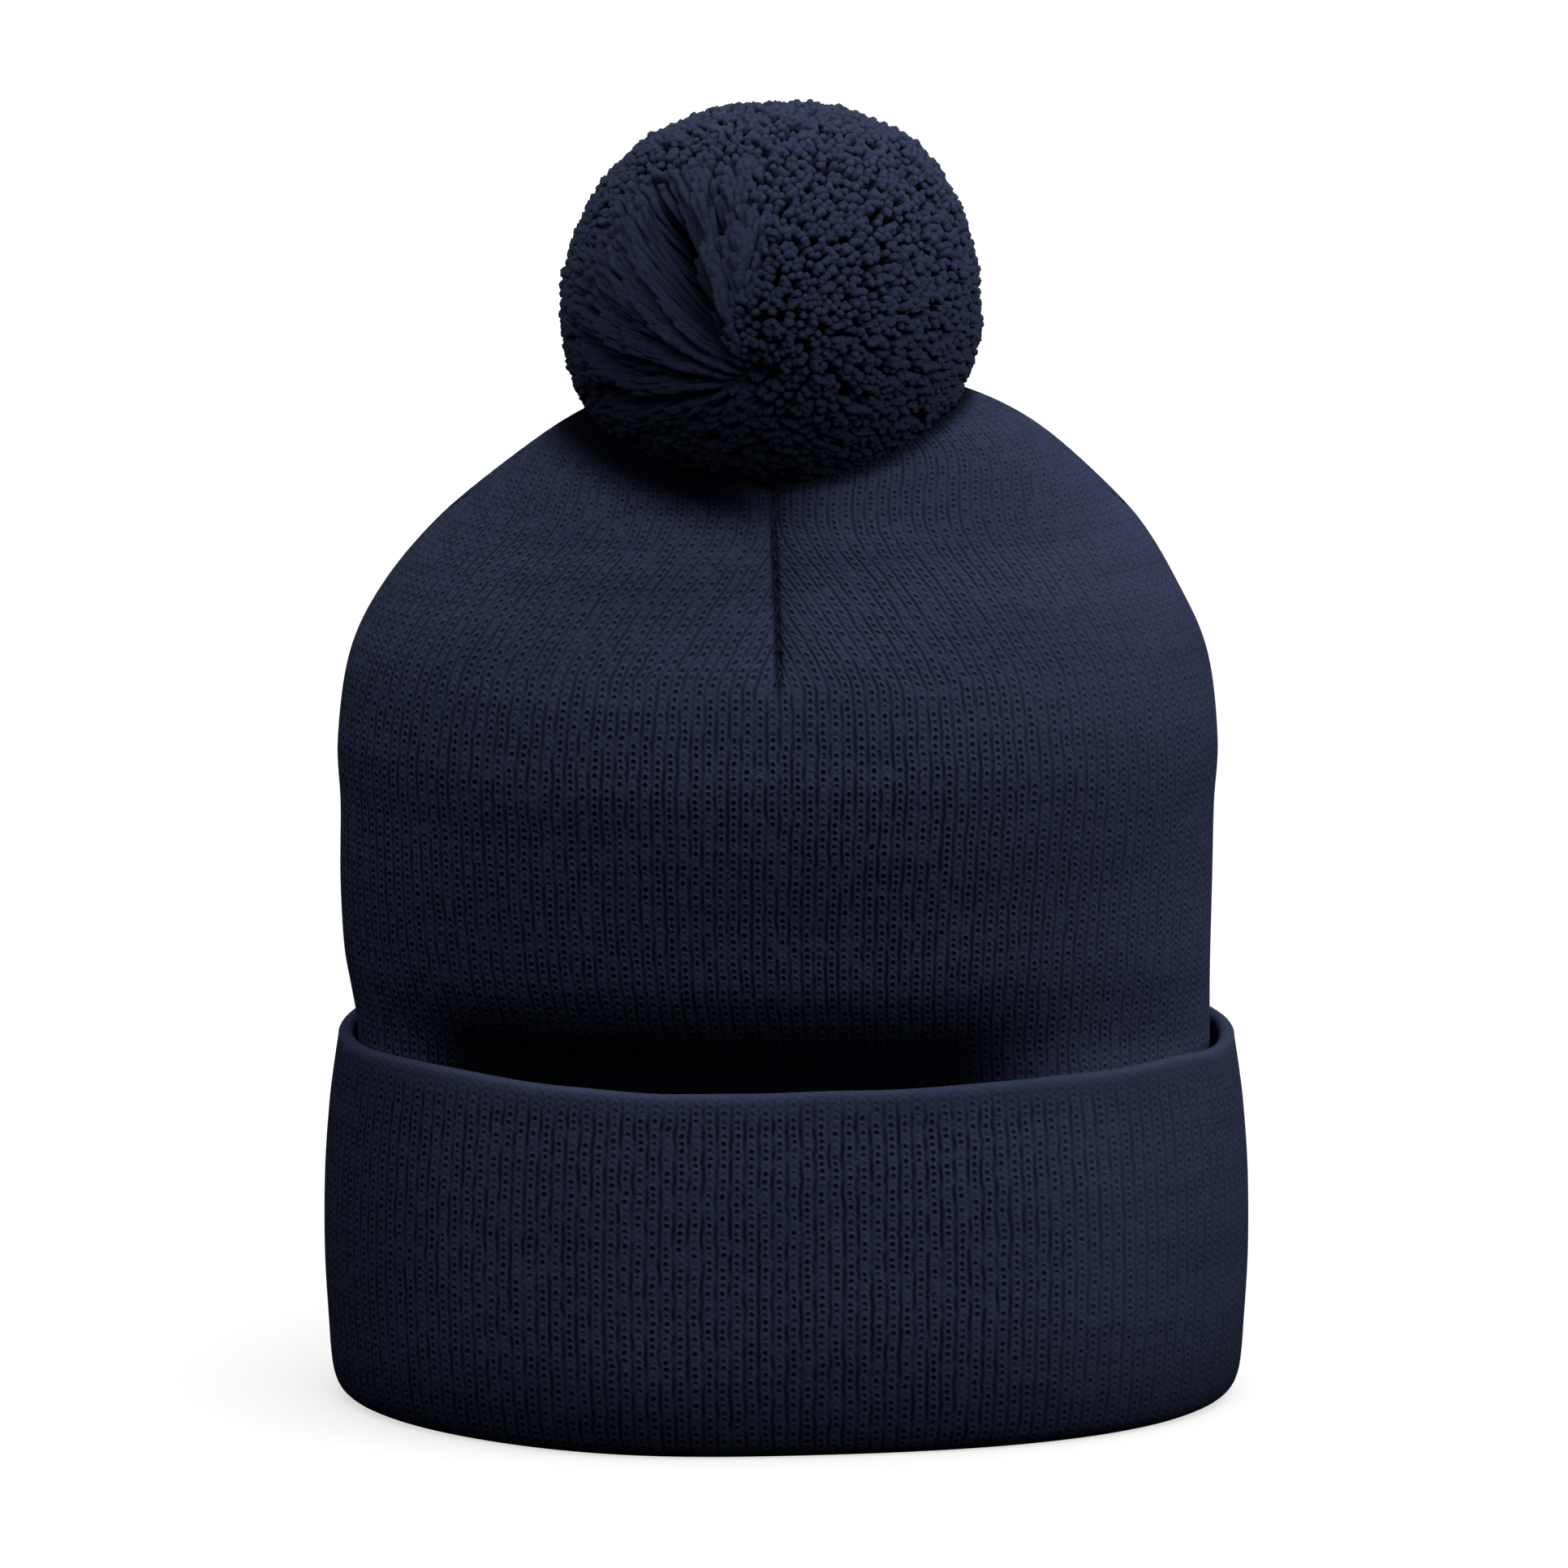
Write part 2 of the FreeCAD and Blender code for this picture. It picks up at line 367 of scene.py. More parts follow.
def tinted(navy, red, green, blue):
    """The yarn's colour with its red, green and blue scaled."""
    return (navy[0] * red, navy[1] * green, navy[2] * blue, 1.0)


def own_map(w, name):
    return w.add("ShaderNodeUVMap", uv_map=name).outputs[0]


def knit_material(name, line, dot, bump, gain=1.0, fade=None, dark=None):
    """Navy knit. line and dot set how dark the painted shade is in the grooves between wales and the holes
    inside them.

    fade and dark are functions that wire a mask from x and z: how clear the stitches are, and how dark the knit
    is painted, mostly as painted shade.
    """
    knit = bpy.context.scene.knit
    material, w, shader = blank_material(name)
    stitch = own_map(w, "knit")
    x, y, z = w.axes(w.coordinates())
    clear = fade(w, x, z) if fade else 1.0
    pattern = w.place(stitch_group(), Stitch=stitch, Line=line, Dot=dot, Fade=clear)
    navy = tuple(c * gain for c in knit.navy)
    cloud = w.noise(w.scaled(stitch, (0.03, 0.11, 1.0)), 1.0, 3.0, 0.6)
    yarn = w.mix(w.smooth(cloud, 0.3, 0.7), tinted(navy, 0.8, 0.82, 0.84), tinted(navy, 1.25, 1.22, 1.16))
    fleck = w.smooth(pattern["Fibre"], 0.3, 0.75, 0.0, 0.55)
    yarn = w.mix(fleck, yarn, tinted(navy, 1.7, 1.6, 1.45))
    # Painted shade: the grooves and holes take the shade colour
    colour = w.mix(pattern["Hollow"], yarn, (*knit.shade, 1.0))
    # Painted shade from the dark mask, almost black
    if dark:
        colour = w.mix(dark(w, x, z), colour, (*(0.25 * c for c in knit.shade), 1.0))
    w.feed(shader["Base Color"], colour)
    w.feed(shader["Normal"], w.bump(pattern["Height"], bump))
    soft_finish(shader, 0.01, 0.005)
    return material


def shell_fade(w, x, z):
    """The stitches show less on the stretched crown, and on the hat's right side, where the key lamp falls,
    their painted hollow shade is faded as painted light.
    """
    return w.times(w.smooth(z, 0.13, 0.175, 1.0, 0.6), w.smooth(x, 0.02, 0.08, 1.0, 0.42))


def shell_painted_shade_and_seam(w, x, z):
    """Painted shade in the crease above the cuff and round the foot of the pom pom, a painted shadow of the pom
    pom on its left, and a dark line on the front dart's seam.
    """
    # Painted shade: the crease above the cuff, at the front, is darkened almost to black
    crease_shade = w.times(
        w.smooth(z, 0.098, 0.0795),
        w.smooth(z, 0.058, 0.066),
        w.smooth(x, -0.084, -0.064),
        w.smooth(x, 0.066, 0.034, 0.0, 0.995),
    )
    seam_x = w.smooth(z, *(place * MM for place in (FRONT_DART_TIP, FRONT_DART_TOP, *FRONT_SEAM)))
    off_seam = w.math("ABSOLUTE", w.math("SUBTRACT", x, seam_x))
    seam = w.times(w.smooth(off_seam, 0.0016, 0.0002, 0.0, 0.8), w.smooth(z, 0.155, 0.161))
    # Painted shadow of the pom pom on the crown's left, and painted shade all round its foot
    from_pom = w.vector("DISTANCE", w.coordinates(), POM_CENTRE * MM)["Value"]
    left = w.times(w.smooth(from_pom, 0.0580, 0.0475), w.smooth(x, 0.016, -0.016, 0.0, 0.99))
    pom_foot_shade = w.math("MAXIMUM", left, w.smooth(from_pom, 0.0480, 0.0445, 0.0, 0.75))
    return w.math("MAXIMUM", crease_shade, w.math("MAXIMUM", seam, pom_foot_shade))


def cuff_fade(w, x, z):
    """The rolled fold is smooth, and the stitches come in below it. On the right side, where the key lamp
    falls, their painted hollow shade is faded as painted light.
    """
    return w.times(w.smooth(z, 0.0765, 0.0695, 0.12, 0.9), w.smooth(x, 0.03, 0.085, 1.0, 0.42))


def cuff_painted_shade(w, x, z):
    """Painted shade: the cuff is darker towards its resting edge and at its sides, most on the left."""
    sides = w.math("ADD", w.smooth(x, -0.06, -0.09, 0.0, 0.35), w.smooth(x, 0.06, 0.09, 0.0, 0.16))
    return w.math("MAXIMUM", w.smooth(z, 0.034, 0.0, 0.0, 0.55), sides)


def radial_group():
    """A normal turned part of the way towards the direction out of the pom pom's middle."""
    if "radial" in bpy.data.node_groups:
        return bpy.data.node_groups["radial"]
    tree, w, given, made = group_tree(
        "radial",
        [("Normal", "NodeSocketVector", None), ("Share", "NodeSocketFloat", 0.5)],
        [("Normal", "NodeSocketVector")],
    )
    turned = w.add("ShaderNodeVectorTransform", vector_type="NORMAL", convert_from="OBJECT", convert_to="WORLD")
    w.feed(turned.inputs[0], w.vector("SUBTRACT", w.coordinates(), POM_CENTRE * MM)[0])
    blend = w.add("ShaderNodeMix", data_type="VECTOR")
    w.feed(blend.inputs[0], given["Share"])
    w.feed(blend.inputs[4], given["Normal"])
    w.feed(blend.inputs[5], w.vector("NORMALIZE", turned.outputs[0])[0])
    w.feed(made["Normal"], w.vector("NORMALIZE", blend.outputs[1])[0])
    return tree


def yarn_material(name, navy, shade, turns, fuzz, bump, rounding=0.0):
    """Plied navy yarn with painted shade from its tone, darker towards each strand's root; rounding shades the
    strands as one ball.
    """
    material, w, shader = blank_material(name)
    strand = own_map(w, "strand")
    pattern = w.place(twist_group(), Strand=strand, Turns=turns, Fuzz=fuzz)
    tone = w.add("ShaderNodeAttribute", attribute_name="tone")
    split = w.add("ShaderNodeSeparateColor")
    w.feed(split.inputs[0], tone.outputs["Color"])
    yarn = w.mix(w.smooth(pattern["Fibre"], 0.3, 0.75), (*navy, 1.0), tinted(navy, 1.45, 1.4, 1.32))
    fleck = w.noise(w.scaled(w.coordinates(), (420.0, 420.0, 1500.0)), 1.0, 2.0, 0.6)
    yarn = w.mix(w.smooth(fleck, 0.42, 0.62, 0.42, 0.0), yarn, tinted(navy, 0.5, 0.52, 0.56))
    yarn = w.mix(w.times(split.outputs[1], 0.35), yarn, tinted(navy, 0.7, 0.72, 0.76))
    # Painted shade: the tone's first channel darkens the yarn deep in the ball
    w.feed(shader["Base Color"], w.mix(split.outputs[0], (*shade, 1.0), yarn))
    normal = w.bump(pattern["Height"], bump)
    if rounding:
        normal = w.place(radial_group(), Normal=normal, Share=rounding)["Normal"]
    w.feed(shader["Normal"], normal)
    soft_finish(shader, 0.05, 0.03)
    return material


def thread_material(name, navy=(0.008, 0.010, 0.021)):
    return yarn_material(name, navy, tuple(bpy.context.scene.knit.shade), 0.5, 0.5, 0.0001)


def label_material():
    """Smooth off-white woven tape."""
    material, w, shader = blank_material("label_tape")
    weave = own_map(w, "tape")
    axes = w.axes(weave)
    across = w.math("PINGPONG", axes[0], 0.5)
    down = w.math("PINGPONG", w.math("MULTIPLY_ADD", axes[1], 0.5, across), 0.5)
    worn = w.noise(weave, 0.12, 3.0)
    w.feed(shader["Base Color"], w.mix(worn, (0.60, 0.58, 0.54, 1.0), (0.74, 0.72, 0.68, 1.0)))
    w.feed(shader["Normal"], w.bump(w.math("ADD", across, down), 0.00012, 0.6))
    set_constants(shader, {"Roughness": 0.55, "Sheen Weight": 0.2})
    return material


# ---- mesh helpers


def catmull(before, start, end, after, part):
    """A point on the smooth curve between start and end."""
    return tuple(
        b + 0.5 * ((c - a) * part + (2 * a - 5 * b + 4 * c - d) * part**2 + (3 * b - 3 * c + d - a) * part**3)
        for a, b, c, d in zip(before, start, end, after)
    )


def smooth_rows(rows, steps=24):
    """The rows joined by a smooth curve, as many closely spaced rows."""
    dense = []
    for i in range(len(rows) - 1):
        before = rows[max(i - 1, 0)]
        after = rows[min(i + 2, len(rows) - 1)]
        for k in range(steps):
            dense.append(catmull(before, rows[i], rows[i + 1], after, k / steps))
    dense.append(rows[-1])
    return dense


def spaced_rows(dense, spacing):
    """Rows picked off a dense curve, spacing(height) apart along it, each with the run so far."""
    picked = [(0.0, dense[0])]
    run = 0.0
    for last, row in zip(dense, dense[1:]):
        run += math.hypot(row[0] - last[0], row[1] - last[1])
        if run - picked[-1][0] >= spacing(row[0]):
            picked.append((run, row))
    if picked[-1][1] != dense[-1]:
        picked.append((run, dense[-1]))
    return picked


def inset_rows(picked, depth):
    """Rows moved inwards by a depth along the side outline's own normal."""
    moved = []
    for i, (run, row) in enumerate(picked):
        below = picked[max(i - 1, 0)][1]
        above = picked[min(i + 1, len(picked) - 1)][1]
        rise, gain = above[0] - below[0], above[1] - below[1]
        length = math.hypot(rise, gain) or 1.0
        out, up = rise / length, -gain / length
        sides = [max(half - depth * out, 0.01) for half in row[1:3]]
        moved.append((run, (row[0] - depth * up, *sides, *row[3:])))
    return moved


class Outline:
    """A quarter of a rounded outline, from its front middle to its side, walked by length."""

    SAMPLES = 90

    def __init__(self, half_width, half_depth, fullness):
        self.half_width = half_width
        self.half_depth = half_depth
        self.power = 2.0 / fullness
        self.turns = [i / self.SAMPLES * math.pi / 2 for i in range(self.SAMPLES + 1)]
        self.runs = [0.0]
        points = [self.point(turn) for turn in self.turns]
        for first, second in zip(points, points[1:]):
            self.runs.append(self.runs[-1] + math.dist(first, second))
        self.length = self.runs[-1]

    def point(self, turn):
        """Half width and half depth reached at a turn from the front."""
        across = max(math.sin(turn), 0.0) ** self.power
        deep = max(math.cos(turn), 0.0) ** self.power
        return self.half_width * across, self.half_depth * deep

    def at(self, part):
        """The point at a part of the quarter's length."""
        goal = min(max(part, 0.0), 1.0) * self.length
        high = min(max(bisect.bisect_right(self.runs, goal), 1), self.SAMPLES)
        span = self.runs[high] - self.runs[high - 1]
        share = (goal - self.runs[high - 1]) / span if span else 0.0
        return self.point(self.turns[high - 1] + share * (self.turns[high] - self.turns[high - 1]))


def ease(value, low, high):
    """0 below low, 1 above high and a smooth rise between them."""
    part = min(max((value - low) / (high - low), 0.0), 1.0)
    return part * part * (3 - 2 * part)


def bell(distance, width):
    """1 at no distance, falling smoothly to almost nothing past twice the width."""
    return math.exp(-((distance / width) ** 2))


def quarter_place(column, columns):
    """Columns from the middle of the front or back, the side (-1 is left) and the face (-1 is front)."""
    from_front = column - columns / 2
    side = -1.0 if from_front < 0 else 1.0
    steps = abs(from_front)
    if steps > columns // 4:
        return columns / 2 - steps, side, 1.0
    return steps, side, -1.0


def mapped_grid(columns, rows, place, layer, map_place):
    """A smooth grid. place gives each crossing's point and map_place its place on the UV map."""
    bm = bmesh.new()
    bmesh.ops.create_grid(bm, x_segments=columns, y_segments=rows, size=0.5)
    uv = bm.loops.layers.uv.new(layer)
    cells = [(round((v.co.x + 0.5) * columns), round((v.co.y + 0.5) * rows)) for v in bm.verts]
    for face in bm.faces:
        face.smooth = True
        for loop in face.loops:
            loop[uv].uv = map_place(*cells[loop.vert.index])
    for vert, (column, row) in zip(bm.verts, cells):
        vert.co = place(column, row)
    return bm


def wrapped_grid(columns, rows, place, stitch):
    """A grid wrapped round the hat and closed. stitch gives each crossing's place in the knit."""
    bm = mapped_grid(columns, rows, place, "knit", stitch)
    bmesh.ops.remove_doubles(bm, verts=bm.verts, dist=1e-6)
    bmesh.ops.dissolve_degenerate(bm, edges=bm.edges, dist=1e-7)
    bmesh.ops.recalc_face_normals(bm, faces=bm.faces)
    return bm


def linked_object(name, data):
    made = bpy.data.objects.new(name, data)
    bpy.context.scene.collection.objects.link(made)
    return made


def finish_piece(bm, name, body, material, nodes):
    """The mesh as a piece of the hat that rides on a body and stands for CAD nodes."""
    mesh = bpy.data.meshes.new(name)
    bm.to_mesh(mesh)
    bm.free()
    mesh.materials.append(material)
    piece = linked_object(name, mesh)
    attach(piece, body)
    if nodes:
        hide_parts(*nodes)
    return piece


# ---- the tube and dome


class Dome:
    """The surface of the tube and dome, with its darts and the dish that the pom pom sits in."""

    FULLNESS = 2.06

    def __init__(self, knit, per_wale):
        self.knit = knit
        self.per_wale = per_wale
        self.columns = knit.wales * per_wale
        self.quarter = self.columns // 4
        self.pitch = Outline(89.2, 47.6, self.FULLNESS).length / (knit.wales / 4)
        self.dense = smooth_rows(SHELL_ROWS)

    def levels(self, depth, spacing):
        """Rows of the surface moved in by depth, from the top down to the tube's end."""
        rows = inset_rows(spaced_rows(self.dense, spacing), depth)
        rows = [level for level in rows if level[1][0] > SHELL_BOTTOM + 1.0]
        first = rows[0][1]
        rows.insert(0, (rows[0][0] - (first[0] - SHELL_BOTTOM), (SHELL_BOTTOM, *first[1:])))
        return [Level(self, run, row, depth) for run, row in reversed(rows)]

    def place(self, level, column):
        """The point of a level where a column of the grid crosses it."""
        return level.point(*quarter_place(column, self.columns), column % self.per_wale == 0)


class Level:
    """One horizontal row of the dome."""

    def __init__(self, dome, run, row, depth):
        self.run = run
        self.height, self.half_width, self.half_depth, self.lean = row
        self.depth = depth
        self.dome = dome
        self.outline = Outline(self.half_width, self.half_depth, Dome.FULLNESS)
        knit = dome.knit
        kept = self.outline.length / dome.pitch * dome.per_wale
        narrowed = max(dome.quarter - kept, 0.0) if self.height > FRONT_DART_TIP else 0.0
        lost = narrowed * knit.dart_share
        side_share = 0.5 * ease(self.height, SIDE_DART_TIP - 2, SIDE_DART_TIP + 20)
        self.lost_front = lost * (1 - side_share)
        self.lost_side = lost * side_share
        self.front_pull = ease(self.height, FRONT_DART_TIP - 2, FRONT_DART_TIP + 8)
        self.side_pull = ease(self.height, SIDE_DART_TIP, SIDE_DART_TIP + 14)
        climb = ease(self.height, FRONT_DART_TIP, FRONT_DART_TOP)
        seam = FRONT_SEAM[0] + (FRONT_SEAM[1] - FRONT_SEAM[0]) * climb
        self.seam_shift = (seam - self.lean) * ease(self.height, 110, FRONT_DART_TIP)

    def point(self, steps, side, face, groove):
        knit = self.dome.knit
        span = self.dome.quarter - self.lost_front - self.lost_side
        part = min(max((steps - self.lost_front) / span, 0.0), 1.0)
        across, deep = self.outline.at(part)
        out = Vector((across / self.half_width**2, deep / self.half_depth**2, 0)).normalized()
        run = part * self.outline.length
        spread = knit.dart_spread / MM
        pull = self.front_pull * math.exp(-run / spread)
        pull = max(pull, self.side_pull * math.exp(-(self.outline.length - run) / spread))
        sink = pull * knit.dart_depth / MM
        if groove and 0.0 < part < 1.0:
            sink += knit.relief / MM
        sink = min(sink, 0.5 * self.half_depth)
        shift = self.seam_shift * (1 - part) ** 2 if face < 0 else 0.0
        x = self.lean + shift + side * (across - sink * out.x)
        y = face * (deep - sink * out.y)
        return self.dished(x, y) * MM

    def dished(self, x, y):
        """The point with the height that the pom pom's dish leaves it."""
        radius = DISH_RADIUS + self.depth
        reach = math.hypot(x - POM_CENTRE.x, y - POM_CENTRE.y)
        gap = POM_CENTRE.z - math.sqrt(max(radius**2 - reach**2, 0.0)) - self.height
        if reach >= radius or gap >= 0:
            return Vector((x, y, self.height))
        return Vector((x, y, self.height + 0.5 * (gap - math.hypot(gap, DISH_ROUND) + DISH_ROUND)))


def knit_ply(name, outer_depth, thickness, per_wale, spacing, material, node):
    """One ply of the tube: its outer face, its inner face and a flat edge that joins them at the bottom."""
    knit = bpy.context.scene.knit
    dome = Dome(knit, per_wale)
    levels = dome.levels(outer_depth, spacing)
    inner = dome.levels(outer_depth + thickness, lambda height: 9.0)
    levels += list(reversed(inner))
    course = knit.course / MM
    bm = wrapped_grid(
        dome.columns,
        len(levels) - 1,
        lambda column, row: dome.place(levels[row], column),
        lambda column, row: (column / per_wale, levels[row].run / course),
    )
    return finish_piece(bm, name, "hat", material, [node])


class BEANIE_OT_outer_shell(bpy.types.Operator):
    """Knit the outer ply of the body and crown"""

    bl_idname = "beanie.outer_shell"
    bl_label = "Outer shell"

    def execute(self, context):
        material = knit_material("knit_body", line=0.78, dot=1.0, bump=0.0006, fade=shell_fade, dark=shell_painted_shade_and_seam)
        ply = context.scene.knit.shell_ply / MM
        knit_ply("outer_shell_knit", 0.0, ply, 3, self.spacing, material, "outer_shell")
        return {"FINISHED"}

    @staticmethod
    def spacing(height):
        """Rows lie closer where the cuff doesn't hide them."""
        return 1.55 if height > 68 else 4.0


class BEANIE_OT_inner_lining(bpy.types.Operator):
    """Knit the inner ply, which lines the hat"""

    bl_idname = "beanie.inner_lining"
    bl_label = "Inner lining"

    def execute(self, context):
        knit = context.scene.knit
        depth = (knit.shell_ply + knit.ply_gap) / MM
        material = knit_material("knit_lining", line=0.7, dot=0.6, bump=0.0005, gain=1.1)
        knit_ply("inner_lining_knit", depth, knit.lining_ply / MM, 2, lambda height: 3.0,
                 material, "inner_lining")
        return {"FINISHED"}


# ---- the cuff


class Band:
    """The closed cross-section of the cuff, carried round the hat."""

    FULLNESS = 2.12
    PER_WALE = 4
    # How the cuff strays from a level oval, in millimetres
    WAVER = 0.7
    RIGHT_DROP = 0.6
    END_DROP = 1.5
    RISE = 1.1
    FRONT_DIP = 2.2
    FRONT_BULGE = 4.8

    def __init__(self, knit, cuff):
        self.knit = knit
        self.cuff = cuff
        self.columns = knit.wales * self.PER_WALE
        self.quarter = self.columns // 4
        self.rows = self.section()
        self.outlines = [Outline(a, b, self.FULLNESS) for z, a, b, relief in self.rows]
        self.runs = [0.0]
        for first, second in zip(self.rows, self.rows[1:]):
            self.runs.append(self.runs[-1] + math.dist(first[:2], second[:2]))

    def section(self):
        """Height, half width, half depth and groove depth down the section, once round it."""
        relief = self.cuff.relief / MM
        fold = self.cuff.fold / MM
        top = self.cuff.height / MM
        spaced = spaced_rows(smooth_rows(CUFF_ROWS), lambda height: 0.8 if height < 8 else 1.5)
        face = [row for run, row in spaced if row[0] < top - fold]
        deep = [relief * ease(z, -2, 8) * (1 - 0.7 * ease(z, top - 9, top - 2)) for z, a, b in face]
        rows = [(*row, groove) for row, groove in zip(face, deep)]
        crest = face[-1]
        for i in range(1, 9):
            turn = i / 8 * math.pi
            inset = fold * (1 - math.cos(turn))
            height = top - fold + fold * math.sin(turn)
            rows.append((height, crest[1] - inset, crest[2] - inset, 0.25 * relief))
        for z, a, b in [row for row in reversed(face) if row[0] > 8.0][::3]:
            rows.append((z, a - 2 * fold, b - 2 * fold, 0.5 * relief))
        rows += [(z, a, b, 0.3 * relief) for z, a, b in LIP_ROWS]
        rows.append((*face[0], rows[0][3]))
        return rows

    def place(self, column, row):
        height, half_width, half_depth, relief = self.rows[row]
        steps, side, face = quarter_place(column, self.columns)
        across, deep = self.outlines[row].at(steps / self.quarter)
        out = Vector((across / half_width**2, deep / half_depth**2, 0)).normalized()
        phase = (column % self.PER_WALE) / self.PER_WALE
        sink = relief * (0.5 + 0.5 * math.cos(phase * math.tau)) ** 1.5
        x = side * (across - sink * out.x)
        y = face * (deep - sink * out.y)
        waver = self.WAVER * noise.noise(Vector((x, y, 0.4 * height)) * 0.045) * ease(height, 2, 30)
        waver -= self.RIGHT_DROP * ease(x, 30, 92) * ease(height, 20, 76)
        waver += (self.RISE - self.END_DROP * ease(abs(x), 78, 95)) * ease(height, 30, 76)
        if face < 0:
            waver -= self.FRONT_DIP * bell(x + 5, 72) * ease(height, 30, 76)
            y -= self.FRONT_BULGE * bell(x + 36, 40) * (1 - 0.35 * ease(height, 10, 70))
        return Vector((x, y, height + waver)) * MM


class BEANIE_OT_cuff(bpy.types.Operator):
    """Knit the turned-up cuff: its face, top fold, back ply and the turn it stands on"""

    bl_idname = "beanie.cuff"
    bl_label = "Cuff"

    def execute(self, context):
        knit = context.scene.knit
        band = Band(knit, context.scene.cuff)
        material = knit_material(
            "knit_cuff", line=0.9, dot=1.0, bump=0.0004, gain=0.94, fade=cuff_fade, dark=cuff_painted_shade
        )
        course = knit.course / MM
        bm = wrapped_grid(
            band.columns,
            len(band.rows) - 1,
            band.place,
            lambda column, row: (column / band.PER_WALE, band.runs[row] / course),
        )
        nodes = ["cuff_face_layer", "cuff_back_layer", "cuff_top_fold", "cuff_bottom_turn"]
        finish_piece(bm, "cuff_knit", "cuff", material, nodes)
        return {"FINISHED"}


# ---- yarn and thread


def strand_template(sides, rings):
    """A tube of yarn with closed ends, unplaced: ring k of it lies at height k."""
    def place(column, ring):
        turn = column / sides * math.tau
        narrow = 0.0 if ring in (0, rings) else 1.0
        return narrow * math.cos(turn), narrow * math.sin(turn), ring

    bm = mapped_grid(sides, rings, place, "strand", lambda column, ring: (column / sides, ring))
    bmesh.ops.remove_doubles(bm, verts=bm.verts, dist=1e-4)
    bmesh.ops.recalc_face_normals(bm, faces=bm.faces)
    mesh = bpy.data.meshes.new("strand_template")
    bm.to_mesh(mesh)
    bm.free()
    return mesh


class StrandBundle:
    """Many strands in one mesh, each a copy of one template laid along its own path."""

    def __init__(self, sides=5, rings=6):
        self.rings = rings
        self.template = strand_template(sides, rings)
        self.shape = [v.co.copy() for v in self.template.vertices]
        self.bm = bmesh.new()
        self.placed = []

    def lay(self, path, radii, tones, shade):
        """One strand along path, with a point, a radius and a tone for each ring; a tone under 1 paints shade
        on that ring.
        """
        self.bm.from_mesh(self.template)
        places = []
        for k, point in enumerate(path):
            ahead = (path[min(k + 1, self.rings)] - path[max(k - 1, 0)]).normalized()
            first = ahead.orthogonal() if k == 0 else places[-1][1] - ahead * ahead.dot(places[-1][1])
            first.normalize()
            places.append((point, first, ahead.cross(first), radii[k]))
        for co in self.shape:
            ring = round(co.z)
            point, first, second, radius = places[ring]
            self.placed.append((point + (first * co.x + second * co.y) * radius, tones[ring], shade))

    def finish(self, name, body, material, slot, nodes):
        tone = self.bm.verts.layers.float_color.new("tone")
        for vert, (point, depth, shade) in zip(self.bm.verts, self.placed):
            vert.co = point
            vert[tone] = (depth, shade, 0.0, 1.0)
        bpy.data.meshes.remove(self.template)
        return finish_piece(self.bm, name, body, material, nodes)


def curl(start, bend, end, parts):
    """Points along a quadratic curve."""
    return [start * (1 - t) ** 2 + bend * (2 * t * (1 - t)) + end * t * t for t in parts]


def spread_directions(count):
    """Directions spread evenly over the whole ball."""
    golden = math.pi * (3 - math.sqrt(5))
    for i in range(count):
        height = 1 - 2 * (i + 0.5) / count
        level = math.sqrt(1 - height * height)
        yield Vector((level * math.cos(golden * i), level * math.sin(golden * i), height))


# Where the strands of the ball part, the small pit above that, and the fuller right shoulder
PARTING = Vector((-0.09, -0.974, -0.206)).normalized()
PARTING_SIDE = Vector((1, 0, 0))
PARTING_UP = PARTING.cross(PARTING_SIDE).normalized()
PIT = Vector((-0.266, -0.760, 0.593)).normalized()
SHOULDER = Vector((0.66, 0.0, 0.75))
# The fan of strands that lie round the parting, and the gap in it
FAN_MIDDLE = math.radians(157)
FAN_REACH = 1.45
GAP_ANGLE = math.radians(131)
GAP_PUSH = 0.17
GAP_WIDTH = 0.3
LOCKS = 19
LOCK_DRAW = 0.055
SCATTER = 0.015
# no strand ends this near the thread under the ball, so the ball can nod and lean
FOOT_CONE = 0.39
STRAND_PARTS = (0.0, 0.12, 0.45, 0.7, 0.88, 0.975, 1.0)
STRAND_RADII = (0.0, 0.6, 0.8, 0.98, 1.08, 0.86, 0.0)


